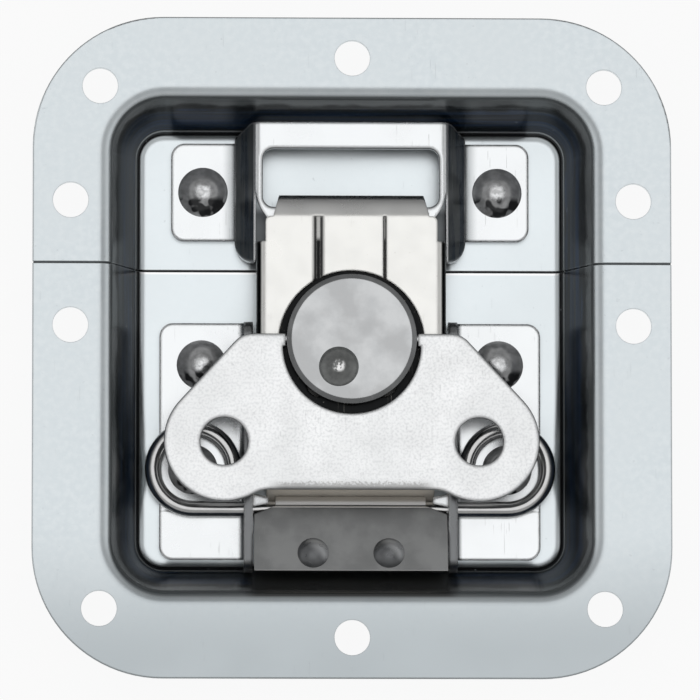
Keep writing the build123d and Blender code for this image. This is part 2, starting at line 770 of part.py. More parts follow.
# Wing: a stamped butterfly, hinged on two trunnions in the rim of the disc
with BuildPart() as wing:
    with BuildSketch(Plane.XY.offset(wing_z - wing_sheet / 2)) as outline:
        with Locations((-lobe_x, lobe_y), (lobe_x, lobe_y)):
            Circle(wing_lobe_radius)
        with Locations((0, pivot_y)):
            Rectangle(2 * wing_shoulder_half_width, wing_above_axis, align=(Align.CENTER, Align.MIN))
        make_hull()
        shoulders = outline.vertices().group_by(Axis.Y)[-1]
        fillet(shoulders, wing_shoulder_radius)
        with Locations((0, lobe_y - wing_lobe_radius)):
            Rectangle(2 * lobe_x, wing_waist, align=(Align.CENTER, Align.MIN), mode=Mode.SUBTRACT)
        with Locations((-lobe_x, lobe_y), (lobe_x, lobe_y)):
            Circle(wing_lobe_radius)
        fillet(outline.vertices().group_by(Axis.Y)[0], wing_waist_radius)
        with Locations((0, cutout_y)):
            Circle(cutout_radius, mode=Mode.SUBTRACT)
            Rectangle(
                2 * cutout_radius,
                wing_cutout_drop + wing_above_axis,
                align=(Align.CENTER, Align.MIN),
                mode=Mode.SUBTRACT,
            )
        with GridLocations(2 * (disc_radius + wing_tab_gap) + wing_tab_width, 0, 2, 1):
            with Locations((0, pivot_y - wing_below_axis)):
                Rectangle(wing_tab_width, wing_below_axis + wing_above_axis, align=(Align.CENTER, Align.MIN))
        with Locations((-lobe_x, lobe_y), (lobe_x, lobe_y)):
            Circle(wing_lobe_hole_radius, mode=Mode.SUBTRACT)
    extrude(amount=wing_sheet)
    flat_faces = wing.faces().filter_by(Plane.XY)
    fillet(flat_faces.edges(), wing_edge_radius)
    for hand in (-1, 1):
        with BuildSketch(Plane.YZ.offset(hand * (disc_radius - trunnion_length))):
            with Locations((pivot_y, wing_z)):
                Circle(trunnion_radius)
        extrude(amount=hand * (trunnion_length + wing_tab_gap + wing_tab_width / 2))
write(wing, "wing")
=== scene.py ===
import math

import bpy
from mathutils import Matrix, Vector


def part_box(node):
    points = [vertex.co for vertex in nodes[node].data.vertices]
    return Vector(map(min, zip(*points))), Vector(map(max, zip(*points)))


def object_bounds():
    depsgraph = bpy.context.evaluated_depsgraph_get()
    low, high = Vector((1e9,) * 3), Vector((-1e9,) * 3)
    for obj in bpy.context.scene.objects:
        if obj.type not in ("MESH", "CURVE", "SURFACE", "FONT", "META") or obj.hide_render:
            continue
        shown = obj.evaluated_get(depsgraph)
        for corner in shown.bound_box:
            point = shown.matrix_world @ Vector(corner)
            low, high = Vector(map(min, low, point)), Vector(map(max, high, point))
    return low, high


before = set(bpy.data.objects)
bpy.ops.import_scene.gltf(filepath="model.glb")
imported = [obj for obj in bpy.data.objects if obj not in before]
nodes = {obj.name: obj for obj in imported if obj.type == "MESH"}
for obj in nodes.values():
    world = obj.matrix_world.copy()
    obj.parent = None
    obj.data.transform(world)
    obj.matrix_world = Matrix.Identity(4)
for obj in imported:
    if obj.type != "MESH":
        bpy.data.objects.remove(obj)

cad_low, cad_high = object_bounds()

# ---------------------------------------------------------------- Dish halves
# Two halves of one recessed dish, drawn from zinc plated steel sheet and riveted or
# screwed to the two parts of a case: satin and faintly blue on the flats. The drawn
# walls are dark with painted shade and bands of painted reflection.

flange_blue_grey = (0.655, 0.705, 0.728)
flange_shadow_grey = (0.605, 0.655, 0.68)
flange_light = (0.70, 0.742, 0.76)
flange_painted_shade = (0.45, 0.49, 0.51)
dish_floor_pale = (0.775, 0.83, 0.855)
beside_hook_painted_shade = (0.07, 0.075, 0.08)
seam_white = (0.97, 0.98, 0.985)
wall_crown_painted_grey = (0.145, 0.158, 0.163)
wall_painted_shade = (0.008, 0.011, 0.013)
wall_painted_blue_reflection = (0.012, 0.034, 0.080)
wall_painted_reflection_grey = (0.075, 0.090, 0.100)
below_clamp_painted_shade = (0.055, 0.057, 0.057)
wall_foot_painted_highlight = (0.36, 0.38, 0.39)
wall_foot_painted_shade = (0.008, 0.008, 0.009)
zinc_scratch = (0.44, 0.47, 0.49)
zinc_edge = (0.78, 0.80, 0.81)

# Places are in millimetres: depths from the flange's back, heights from the dish's
# floor. Each pair runs from where a mark is not there yet to where it is full, and
# a band across the metal has one pair at either side.
mm_per_metre = 1000.0
dish_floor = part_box("keeper")[0][2] * mm_per_metre
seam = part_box("lid_dish")[0][1] * mm_per_metre
crown_depth = (-1.6, -3.0)
blue_reflection_depth = ((-3.4, -4.8), (-11.0, -10.0))
foot_highlight_height = ((1.9, 1.65), (1.15, 1.4))
foot_shade_height = ((1.3, 1.05), (0.3, 0.55))
floor_pale_height = (1.0, 0.2)
floor_only_height = (0.4, 0.1)
below_clamp_along = (-34.5, -36.0)
below_clamp_across = (18.5, 15.5)
beside_hook_across = ((13.2, 14.2), (17.2, 16.4))
beside_hook_past_seam = ((0.0, 0.4), (11.5, 9.5))
seam_light_past_seam = ((-0.65, -0.45), (0.2, 0.1))
seam_light_height = (1.0, 0.6)
flange_shade_along = (-24.0, -47.5)

# How level the metal lies where it starts and ends to count as wall. The dark
# climbs further up the mouth's bend at the two ends, most of all at the body's.
wall_level = (0.77, 0.48)
both_ends_gain = 0.323
body_end_gain = 0.156


class Finish:
    """One metal finish: nodes are added to it in the order in which the surface is made."""

    def __init__(self, name, edge_radius, metallic=1.0):
        self.material = bpy.data.materials.new(name)
        self.material.use_nodes = True
        self.tree = self.material.node_tree
        self.shader = self.tree.nodes["Principled BSDF"]
        self.shader.inputs["Metallic"].default_value = metallic
        place = self.node("ShaderNodeTexCoord")
        self.normal_here = place.outputs["Normal"]
        in_millimetres = self.node("ShaderNodeVectorMath", operation="SCALE")
        in_millimetres.inputs["Scale"].default_value = mm_per_metre
        self.feed(in_millimetres.inputs[0], place.outputs["Object"])
        self.point = in_millimetres.outputs[0]
        self.round_edges(edge_radius)

    def node(self, kind, **settings):
        made = self.tree.nodes.new(kind)
        for key, value in settings.items():
            setattr(made, key, value)
        return made

    def feed(self, socket, value):
        if isinstance(value, (int, float)):
            socket.default_value = value
        elif isinstance(value, tuple):
            socket.default_value = (*value, 1.0) if len(socket.default_value) == 4 else value
        else:
            self.tree.links.new(value, socket)

    def reckon(self, operation, first, second=0.0, clamp=False):
        """One step of arithmetic, done anew at each point of the metal."""
        made = self.node("ShaderNodeMath", operation=operation, use_clamp=clamp)
        self.feed(made.inputs[0], first)
        self.feed(made.inputs[1], second)
        return made.outputs[0]

    def plus(self, first, second, clamp=False):
        return self.reckon("ADD", first, second, clamp)

    def minus(self, first, second):
        return self.reckon("SUBTRACT", first, second)

    def times(self, first, *others):
        """A product: of masks, it leaves the places that are in all of them."""
        for other in others:
            first = self.reckon("MULTIPLY", first, other)
        return first

    def distance(self, value):
        """How far a value is from nought, on either side."""
        return self.reckon("ABSOLUTE", value)

    def axis(self, vector, letter):
        made = self.node("ShaderNodeSeparateXYZ")
        self.feed(made.inputs[0], vector)
        return made.outputs[letter]

    def ramp(self, value, low, high, low_value=0.0, high_value=1.0):
        made = self.node("ShaderNodeMapRange", interpolation_type="SMOOTHSTEP")
        self.feed(made.inputs["Value"], value)
        made.inputs["From Min"].default_value = low
        made.inputs["From Max"].default_value = high
        made.inputs["To Min"].default_value = low_value
        made.inputs["To Max"].default_value = high_value
        return made.outputs["Result"]

    def band(self, value, one_side, other_side):
        """A mask that comes in over one pair of values and goes out over the other."""
        return self.times(self.ramp(value, *one_side), self.ramp(value, *other_side))

    def cloud(self, size, detail=3.0, stretch=(1, 1, 1), turn=0.0, shift=(0, 0, 0)):
        """Noise whose features are about `size` millimetres across, before any stretch."""
        where = self.node("ShaderNodeMapping")
        self.feed(where.inputs["Vector"], self.point)
        where.inputs["Location"].default_value = shift
        where.inputs["Rotation"].default_value = (0, 0, math.radians(turn))
        where.inputs["Scale"].default_value = tuple(1.0 / s for s in stretch)
        made = self.node("ShaderNodeTexNoise")
        made.inputs["Scale"].default_value = 1.0 / size
        made.inputs["Detail"].default_value = detail
        self.feed(made.inputs["Vector"], where.outputs[0])
        return made.outputs["Fac"]

    def vary(self, cloud, low_value, high_value):
        """A value that wanders with a cloud, whose own values lie between 0.3 and 0.7."""
        return self.ramp(cloud, 0.3, 0.7, low_value, high_value)

    def scratches(self, turn, width, length, share, shift):
        """Hairline marks along one direction, in patches; `share` is how many survive."""
        patch_size = 14.0
        upright_stretch = 4
        threshold = 0.79 - 0.12 * share
        softness = 0.04
        lines = self.cloud(width, 1.0, (1, length / width, upright_stretch), turn, shift)
        patches = self.ramp(self.cloud(patch_size, 2.0, shift=shift), 0.46, 0.62)
        return self.times(self.ramp(lines, threshold, threshold + softness), patches)

    def round_edges(self, radius):
        """Rounds the normals at sharp edges; `turned` is 1 where one stayed as it was."""
        rounded = self.node("ShaderNodeBevel", samples=6)
        rounded.inputs["Radius"].default_value = radius / mm_per_metre
        here = self.node("ShaderNodeNewGeometry")
        turned = self.node("ShaderNodeVectorMath", operation="DOT_PRODUCT")
        self.feed(turned.inputs[0], rounded.outputs[0])
        self.feed(turned.inputs[1], here.outputs["True Normal"])
        self.rounded = rounded.outputs[0]
        self.turned = turned.outputs["Value"]

    def worn_edges(self, full=0.86):
        """A mask of the sharp edges, full where `turned` has dropped to `full`."""
        return self.ramp(self.turned, 0.999, full)

    def blend(self, share, first, second):
        made = self.node("ShaderNodeMix", data_type="RGBA")
        self.feed(made.inputs["Factor"], share)
        self.feed(made.inputs["A"], first)
        self.feed(made.inputs["B"], second)
        return made.outputs["Result"]

    def paint(self, colour, over, mask, strength=1.0):
        """Lays the colour `over` on `colour` where the mask is."""
        if strength < 1.0:
            mask = self.times(mask, strength)
        return self.blend(mask, colour, over)

    def finish(self, colour, roughness, height, depth, dull=None):
        """Joins the finish up: `depth` is how high its bumps stand, in millimetres, and
        `dull` is a mask of where old plating hides the bare metal."""
        self.feed(self.shader.inputs["Base Color"], colour)
        if dull is not None:
            self.feed(self.shader.inputs["Metallic"], self.minus(1.0, dull))
        self.feed(self.shader.inputs["Roughness"], roughness)
        bump = self.node("ShaderNodeBump")
        bump.inputs["Distance"].default_value = depth / mm_per_metre
        bump.inputs["Strength"].default_value = 1.0
        self.feed(bump.inputs["Height"], height)
        self.feed(bump.inputs["Normal"], self.rounded)
        self.feed(self.shader.inputs["Normal"], bump.outputs[0])
        return self.material


def dress(material, *names):
    """Gives the named pieces one finish, in place of what they came with."""
    for name in names:
        piece = nodes[name]
        piece.data.materials.clear()
        piece.data.materials.append(material)


zinc = Finish("drawn zinc", edge_radius=0.16)
across = zinc.distance(zinc.axis(zinc.point, "X"))
along = zinc.axis(zinc.point, "Y")
past_seam = zinc.minus(along, seam)
depth = zinc.axis(zinc.point, "Z")
height_over_floor = zinc.minus(depth, dish_floor)

# The metal: its grain, mottled plating, pits and scratches.
grain = zinc.cloud(0.22)
plating_mottle = zinc.cloud(16.0)
fine_mottle = zinc.cloud(1.1, shift=(7, 3, 1))
pits = zinc.ramp(zinc.cloud(0.9, detail=2.0, shift=(1, 6, 2)), 0.70, 0.80)
scratches = zinc.plus(
    zinc.scratches(turn=38, width=0.16, length=7.0, share=0.35, shift=(3, 1, 0)),
    zinc.scratches(turn=-64, width=0.14, length=5.0, share=0.30, shift=(9, 4, 0)),
)
marks = zinc.plus(scratches, pits)

# The drawn wall, on the inside only: the dish's outside never faces up.
faces_up = zinc.axis(zinc.normal_here, "Z")
faces_along = zinc.axis(zinc.normal_here, "Y")
inside = zinc.ramp(faces_up, 0.02, 0.12)
level = zinc.minus(faces_up, zinc.times(faces_along, body_end_gain))
level = zinc.minus(level, zinc.times(zinc.distance(faces_along), both_ends_gain))
drawn_wall = zinc.times(zinc.ramp(level, *wall_level), inside)
uneven_depth = zinc.plus(depth, zinc.vary(zinc.cloud(5.0, detail=2.0), -0.5, 0.5))
reflection_lines = zinc.ramp(zinc.cloud(0.8, stretch=(40, 40, 0.7)), 0.40, 0.62)
fine_reflection_lines = zinc.cloud(1.0, detail=2.0, stretch=(60, 60, 0.7), shift=(0, 0, 5))
fine_reflection_lines = zinc.ramp(fine_reflection_lines, 0.57, 0.64)
blue_reflection_band = zinc.band(uneven_depth, *blue_reflection_depth)
# Painted shade on the wall below the clamp.
below_clamp_shade = zinc.ramp(along, *below_clamp_along)
below_clamp_shade = zinc.times(below_clamp_shade, zinc.ramp(across, *below_clamp_across))
# A painted highlight line and painted shade low on the wall, where it meets the floor.
foot_highlight = zinc.times(zinc.band(height_over_floor, *foot_highlight_height), inside)
foot_shade = zinc.times(zinc.band(height_over_floor, *foot_shade_height), inside)
# The wall's colour is painted shade, greyer at the crown, with bands of painted blue and grey
# reflection by depth.
wall_colour = zinc.blend(zinc.ramp(uneven_depth, *crown_depth), wall_crown_painted_grey, wall_painted_shade)
wall_colour = zinc.paint(wall_colour, wall_painted_blue_reflection, zinc.times(blue_reflection_band, reflection_lines))
wall_colour = zinc.paint(wall_colour, wall_painted_reflection_grey, fine_reflection_lines, 0.40)
wall_colour = zinc.paint(wall_colour, below_clamp_painted_shade, below_clamp_shade)

# The flats: the flange, with painted shade towards the body's end, and the paler floor.
nearing_body_end = zinc.plus(along, zinc.times(plating_mottle, 8.0))
# Painted shade on the floor beside the hook, under its sides.
beside_hook_shade = zinc.times(
    zinc.band(across, *beside_hook_across),
    zinc.band(past_seam, *beside_hook_past_seam),
    zinc.ramp(height_over_floor, *floor_only_height),
    inside,
)
seam_light = zinc.band(past_seam, *seam_light_past_seam)
seam_light = zinc.times(seam_light, zinc.ramp(height_over_floor, *seam_light_height))
flat_colour = zinc.blend(zinc.vary(plating_mottle, 0.0, 1.0), flange_shadow_grey, flange_blue_grey)
flat_colour = zinc.paint(flat_colour, flange_light, zinc.ramp(fine_mottle, 0.35, 0.72), 0.5)
flat_colour = zinc.paint(flat_colour, flange_painted_shade, zinc.ramp(nearing_body_end, *flange_shade_along))
floor_pale = zinc.ramp(height_over_floor, *floor_pale_height)
flat_colour = zinc.paint(flat_colour, dish_floor_pale, floor_pale, 0.8)
flat_colour = zinc.paint(flat_colour, beside_hook_painted_shade, beside_hook_shade, 0.85)
flat_colour = zinc.paint(flat_colour, seam_white, seam_light)

colour = zinc.blend(drawn_wall, flat_colour, wall_colour)
colour = zinc.paint(colour, wall_foot_painted_highlight, foot_highlight)
colour = zinc.paint(colour, wall_foot_painted_shade, foot_shade)
colour = zinc.paint(colour, zinc_scratch, marks, 0.35)
colour = zinc.paint(colour, zinc_edge, zinc.worn_edges(), 0.35)
roughness = zinc.minus(zinc.vary(plating_mottle, 0.28, 0.33), zinc.times(drawn_wall, 0.10))
height = zinc.minus(grain, zinc.times(marks, 1.2))
dull = zinc.plus(zinc.times(drawn_wall, 0.5), zinc.times(foot_shade, 0.5), clamp=True)
dress(zinc.finish(colour, roughness, height, 0.005, dull), "body_dish", "lid_dish")

# ---------------------------------------------------------------- Keeper and base brackets
# Blanked and bent from thicker sheet, then bright zinc plated and tumbled:
# whiter and smoother than the dish, with fine random handling marks.

bright_white = (0.865, 0.885, 0.895)
bright_grey = (0.765, 0.785, 0.80)
foot_shadow = (0.27, 0.29, 0.30)
bend_painted_shade = (0.085, 0.095, 0.10)
bend_painted_blue_reflection = (0.018, 0.032, 0.050)
bend_painted_highlight = (0.62, 0.63, 0.64)
wall_top_grey = (0.17, 0.175, 0.18)
foot_edge_painted_shade = (0.085, 0.09, 0.095)
bright_scratch = (0.50, 0.50, 0.50)
bright_edge = (0.88, 0.89, 0.90)

# Depths from the flange's back; the keeper's bends also by how far past the seam.
foot_depth = (-10.4, -10.9)
keeper_bend_across = (21.6, 19.2)
keeper_bend_past_seam = (-1.0, 0.0)
bracket_wall_depth = (-9.6, -8.8)
bracket_wall_across = (16.15, 16.35)
bracket_wall_along = (9.0, 7.5)

bright = Finish("bright zinc", edge_radius=0.75)
across = bright.distance(bright.axis(bright.point, "X"))
along = bright.axis(bright.point, "Y")
depth = bright.axis(bright.point, "Z")
level = bright.axis(bright.normal_here, "Z")
grain = bright.cloud(0.30, shift=(2, 5, 0))
mottle = bright.cloud(7.0, detail=4.0)
marks = bright.plus(
    bright.scratches(turn=52, width=0.13, length=6.0, share=0.55, shift=(1, 8, 0)),
    bright.scratches(turn=-33, width=0.12, length=4.0, share=0.50, shift=(5, 2, 0)),
)
bent = bright.ramp(level, 0.86, 0.50)
bend_highlight_line = bright.band(level, (0.50, 0.58), (0.74, 0.66))
blue_sheen = bright.cloud(1.8, stretch=(1, 9, 1), shift=(0, 4, 0))
blue_sheen = bright.ramp(blue_sheen, 0.42, 0.62)
foot = bright.ramp(depth, *foot_depth)
near_bend = bright.times(
    foot,
    bright.ramp(across, *keeper_bend_across),
    bright.ramp(bright.minus(along, seam), *keeper_bend_past_seam),
)
wall_top = bright.times(
    bright.ramp(depth, *bracket_wall_depth),
    bright.ramp(across, *bracket_wall_across),
    bright.ramp(along, *bracket_wall_along),
)
# Painted shade along the feet's rounded edges.
foot_edge_shade = bright.times(bright.worn_edges(full=0.975), foot)
colour = bright.blend(mottle, bright_grey, bright_white)
colour = bright.paint(colour, foot_shadow, near_bend, 0.8)
# Painted shade and painted blue reflection on the bends, and a painted highlight line along them.
colour = bright.paint(colour, bright.blend(blue_sheen, bend_painted_shade, bend_painted_blue_reflection), bent)
colour = bright.paint(colour, bend_painted_highlight, bend_highlight_line, 0.7)
# Darker on the bracket walls' tops.
colour = bright.paint(colour, wall_top_grey, wall_top)
colour = bright.paint(colour, bright_scratch, marks, 0.45)
colour = bright.paint(colour, bright_edge, bright.worn_edges(), 0.45)
colour = bright.paint(colour, foot_edge_painted_shade, foot_edge_shade)
roughness = bright.minus(bright.vary(mottle, 0.20, 0.29), bright.times(bent, 0.06))
height = bright.minus(grain, bright.times(marks, 1.4))
bright_zinc = bright.finish(colour, roughness, height, 0.005, bright.times(bent, 0.5))
dress(bright_zinc, "keeper", "base_bracket_left", "base_bracket_right")

# ---------------------------------------------------------------- Dish rivets
# Six domed steel rivets hold the keeper and the brackets to the dish. Dark polished
# heads, with painted shade on the sides and towards the body's end, and a duller painted highlight
# on the crown.

rivet_dark = (0.36, 0.365, 0.37)
rivet_grey = (0.50, 0.505, 0.51)
rivet_painted_highlight = (0.72, 0.73, 0.74)
rivet_shadow = (0.035, 0.036, 0.038)
rivet_scratch = (0.6, 0.6, 0.6)
rivet_edge = (0.55, 0.56, 0.57)

domes = Finish("rivet steel", edge_radius=0.15)
level = domes.axis(domes.normal_here, "Z")
grain = domes.cloud(0.25)
mottle = domes.cloud(1.3, detail=4.0, shift=(4, 4, 4))
marks = domes.scratches(turn=20, width=0.10, length=2.5, share=0.8, shift=(2, 2, 0))
highlight_breakup = domes.ramp(domes.cloud(0.8, shift=(1, 2, 0)), 0.36, 0.60)
crown_highlight = domes.times(domes.ramp(level, 0.93, 0.995), highlight_breakup)
toward_body = domes.ramp(domes.axis(domes.normal_here, "Y"), -0.10, -0.34)
patches = domes.ramp(domes.cloud(2.2, detail=1.0, shift=(3, 1, 0)), 0.46, 0.54)
patches = domes.times(toward_body, patches)
colour = domes.blend(domes.ramp(mottle, 0.35, 0.65), rivet_dark, rivet_grey)
colour = domes.paint(colour, rivet_shadow, patches)
colour = domes.paint(colour, rivet_shadow, domes.ramp(level, 0.60, 0.30))
colour = domes.paint(colour, rivet_painted_highlight, crown_highlight)
colour = domes.paint(colour, rivet_scratch, marks, 0.4)
colour = domes.paint(colour, rivet_edge, domes.worn_edges(), 0.4)
roughness = domes.plus(domes.vary(mottle, 0.14, 0.24), domes.times(crown_highlight, 0.08))
height = domes.plus(grain, domes.times(mottle, 2.0))
dull = domes.times(domes.ramp(level, 0.99, 0.90), 0.55)
dress(
    domes.finish(colour, roughness, height, 0.008, dull),
    "keeper_rivet_left", "keeper_rivet_right",
    "bracket_rivet_left_upper", "bracket_rivet_left_lower",
    "bracket_rivet_right_upper", "bracket_rivet_right_lower",
)

# ---------------------------------------------------------------- Wire spring
# Hard drawn spring wire: a straight bar that the carrier swings on, with an eye at
# each end round a bracket's lower rivet. Bright, with the fine marks of the die.

wire_shade = (0.44, 0.44, 0.44)
wire_bright = (0.66, 0.66, 0.655)
wire_mark = (0.80, 0.80, 0.79)

wire = Finish("spring wire", edge_radius=0.1)
draw_marks = wire.cloud(0.12, detail=2.0)
mottle = wire.cloud(3.0)
colour = wire.blend(mottle, wire_shade, wire_bright)
colour = wire.paint(colour, wire_mark, wire.ramp(draw_marks, 0.55, 0.75), 0.3)
dress(wire.finish(colour, wire.vary(mottle, 0.13, 0.22), draw_marks, 0.004), "wire_spring")

# ---------------------------------------------------------------- Carrier and wire clamp
# The carrier swings on the wire. Its plating is warm and dull, with painted shade
# under the wing. A clamp plate of plain dark steel, its upper edge rolled to a lip with
# a painted highlight, is riveted on its tail.

clamp_dark = (0.26, 0.265, 0.265)
clamp_grey = (0.34, 0.345, 0.345)
clamp_scratch = (0.5, 0.5, 0.5)
clamp_edge_wear_and_highlight = (0.78, 0.77, 0.75)
lip_painted_highlight = (0.96, 0.95, 0.94)
lip_painted_warm_reflection = (0.58, 0.545, 0.50)

clamp = Finish("clamp steel", edge_radius=0.25)
roll = clamp.axis(clamp.normal_here, "Y")
grain = clamp.cloud(0.30, detail=4.0, shift=(1, 1, 5))
mottle = clamp.cloud(6.0, detail=4.0)
marks = clamp.scratches(turn=75, width=0.14, length=5.0, share=0.6, shift=(2, 7, 0))
lip = clamp.ramp(roll, 0.265, 0.30)
colour = clamp.blend(clamp.ramp(mottle, 0.36, 0.64), clamp_dark, clamp_grey)
colour = clamp.paint(colour, clamp_scratch, marks, 0.3)
# Painted highlight and warm painted reflection on the rolled lip; the edges are lightened for wear
# and partly as painted highlight.
colour = clamp.paint(colour, lip_painted_highlight, lip)
colour = clamp.paint(colour, lip_painted_warm_reflection, clamp.ramp(roll, 0.42, 0.62))
colour = clamp.paint(colour, clamp_edge_wear_and_highlight, clamp.worn_edges(), 0.6)
roughness = clamp.plus(clamp.vary(mottle, 0.34, 0.46), clamp.times(lip, 0.2))
height = clamp.minus(grain, marks)
dress(clamp.finish(colour, roughness, height, 0.006, clamp.times(lip, 0.95)), "wire_clamp")

head_dark = (0.10, 0.105, 0.11)
head_grey = (0.18, 0.185, 0.19)
head_painted_highlight = (0.48, 0.49, 0.50)
head_shadow = (0.05, 0.05, 0.05)

heads = Finish("clamp rivet steel", edge_radius=0.2, metallic=0.45)
grain = heads.cloud(0.30, detail=4.0, shift=(3, 1, 2))
mottle = heads.cloud(1.6, detail=4.0)
# Painted highlight towards one corner, and painted shade on the heads' sides.
highlight_side = heads.plus(heads.axis(heads.normal_here, "X"), heads.axis(heads.normal_here, "Y"))
colour = heads.blend(mottle, head_dark, head_grey)
colour = heads.paint(colour, head_painted_highlight, heads.ramp(highlight_side, 0.1, 0.9))
head_side = heads.ramp(heads.axis(heads.normal_here, "Z"), 0.55, 0.25)
colour = heads.paint(colour, head_shadow, head_side)
clamp_rivet_steel = heads.finish(colour, heads.vary(mottle, 0.26, 0.36), grain, 0.008)
dress(clamp_rivet_steel, "clamp_rivet_left", "clamp_rivet_right")

plating_shade = (0.72, 0.68, 0.61)
plating_warm = (0.86, 0.82, 0.75)
plating_scratch = (0.40, 0.38, 0.35)
plating_edge = (0.90, 0.88, 0.84)
under_wing_painted_shade = (0.06, 0.06, 0.06)
under_wing_painted_shade_grey = (0.12, 0.118, 0.112)
under_wing_shade_along = (-20.0, -18.5)

carrier = Finish("carrier plating", edge_radius=0.3, metallic=0.35)
grain = carrier.cloud(0.28, shift=(4, 1, 1))
mottle = carrier.cloud(5.0, detail=4.0)
marks = carrier.scratches(turn=80, width=0.14, length=6.0, share=0.6, shift=(3, 3, 0))
# Painted shade under the wing.
under_wing_shade = carrier.ramp(carrier.axis(carrier.point, "Y"), *under_wing_shade_along)
under_wing_shade_colour = carrier.blend(mottle, under_wing_painted_shade, under_wing_painted_shade_grey)
colour = carrier.blend(mottle, plating_shade, plating_warm)
colour = carrier.paint(colour, plating_scratch, marks, 0.4)
colour = carrier.paint(colour, plating_edge, carrier.worn_edges(), 0.5)
colour = carrier.paint(colour, under_wing_shade_colour, under_wing_shade)
dress(carrier.finish(colour, carrier.vary(mottle, 0.34, 0.44), grain, 0.006), "carrier_plate")

# ---------------------------------------------------------------- Hook plate
# The draw hook, bent over at its tip, with two grooves pressed in and a round
# recess under the cam. Nickel plated: warmer than the zinc round it.

nickel_ivory = (0.885, 0.885, 0.86)
nickel_shade = (0.79, 0.785, 0.76)
nickel_bend_painted_shade = (0.22, 0.22, 0.22)
groove_painted_shade = (0.42, 0.42, 0.41)
groove_side_painted_shade = (0.07, 0.07, 0.07)
tip_painted_shade_grey = (0.74, 0.74, 0.73)
tip_painted_shade_dark = (0.34, 0.34, 0.34)
recess_painted_shade = (0.012, 0.0125, 0.013)
nickel_mark = (0.52, 0.50, 0.46)
nickel_edge = (0.90, 0.89, 0.86)

# Depths from the plate's own top, and places along the latch towards the tip.
hook_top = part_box("hook_plate")[1][2] * mm_per_metre
recess_depth = (-0.2, -0.5)
recess_along = (19.0, 18.0)
groove_depth = (-0.06, -0.30)
groove_across = (8.4, 8.0)
groove_along = (22.6, 22.0)
tip_shade_grey_along = (22.3, 23.0)
tip_shade_dark_along = (22.8, 25.8)

hook = Finish("hook nickel", edge_radius=0.5)
across = hook.distance(hook.axis(hook.point, "X"))
along = hook.axis(hook.point, "Y")
depth = hook.minus(hook.axis(hook.point, "Z"), hook_top)
level = hook.axis(hook.normal_here, "Z")
grain = hook.cloud(0.26, shift=(6, 2, 3))
mottle = hook.cloud(4.5, detail=4.0)
specks = hook.ramp(hook.cloud(0.5, detail=2.0, shift=(3, 3, 3)), 0.70, 0.78)
scratches = hook.plus(
    hook.scratches(turn=48, width=0.12, length=5.0, share=0.5, shift=(4, 2, 0)),
    hook.scratches(turn=-28, width=0.12, length=3.5, share=0.4, shift=(8, 1, 0)),
)
bent = hook.ramp(level, 0.90, 0.50)
recess = hook.times(hook.ramp(depth, *recess_depth), hook.ramp(along, *recess_along))
groove = hook.times(
    hook.ramp(depth, *groove_depth),
    hook.ramp(across, *groove_across),
    hook.ramp(along, *groove_along),
)
groove_side = hook.times(groove, hook.ramp(level, 0.97, 0.85))
# Painted shade on the bends, in the grooves, over the bent tip and in the recess under the cam.
colour = hook.blend(mottle, nickel_shade, nickel_ivory)
colour = hook.paint(colour, nickel_bend_painted_shade, bent)
colour = hook.paint(colour, groove_painted_shade, groove)
colour = hook.paint(colour, groove_side_painted_shade, groove_side)
colour = hook.paint(colour, tip_painted_shade_grey, hook.ramp(along, *tip_shade_grey_along))
colour = hook.paint(colour, tip_painted_shade_dark, hook.ramp(along, *tip_shade_dark_along))
colour = hook.paint(colour, recess_painted_shade, recess)
colour = hook.paint(colour, nickel_mark, hook.plus(scratches, specks), 0.4)
colour = hook.paint(colour, nickel_edge, hook.worn_edges(), 0.4)
roughness = hook.minus(hook.vary(mottle, 0.27, 0.36), hook.times(bent, 0.06))
height = hook.minus(hook.plus(grain, specks), hook.times(scratches, 1.2))
dress(hook.finish(colour, roughness, height, 0.006), "hook_plate")

# ---------------------------------------------------------------- Cam
# A turned disc on an axle, with a riveted crank pin and its roller below.
# Satin from the lathe: concentric turning marks round the axle.

turned_shade = (0.50, 0.512, 0.52)
turned_grey = (0.66, 0.672, 0.68)
turned_stain = (0.38, 0.385, 0.39)
rim_painted_shade = (0.035, 0.037, 0.038)
turned_scratch = (0.70, 0.70, 0.70)
turned_edge = (0.75, 0.75, 0.75)
turning_marks_per_mm = 5.0

cam = Finish("turned steel", edge_radius=0.3)
axle_low, axle_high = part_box("axle_washer")
axle_x = (axle_low[0] + axle_high[0]) / 2 * mm_per_metre
axle_y = (axle_low[1] + axle_high[1]) / 2 * mm_per_metre
from_axle = cam.node("ShaderNodeVectorMath", operation="SUBTRACT")
cam.feed(from_axle.inputs[0], cam.point)
from_axle.inputs[1].default_value = (axle_x, axle_y, 0)
flat = cam.node("ShaderNodeVectorMath", operation="MULTIPLY")
cam.feed(flat.inputs[0], from_axle.outputs[0])
flat.inputs[1].default_value = (1, 1, 0)
reach = cam.node("ShaderNodeVectorMath", operation="LENGTH")
cam.feed(reach.inputs[0], flat.outputs[0])
rings = cam.node("ShaderNodeTexNoise", noise_dimensions="1D")
rings.inputs["Scale"].default_value = turning_marks_per_mm
rings.inputs["Detail"].default_value = 3.0
cam.feed(rings.inputs["W"], reach.outputs["Value"])

grain = cam.cloud(0.22)
mottle = cam.cloud(3.2, detail=5.0, shift=(5, 5, 0))
stain = cam.ramp(cam.cloud(9.0, detail=4.0, shift=(2, 6, 0)), 0.42, 0.58)
marks = cam.scratches(turn=60, width=0.12, length=4.0, share=0.6, shift=(1, 3, 0))
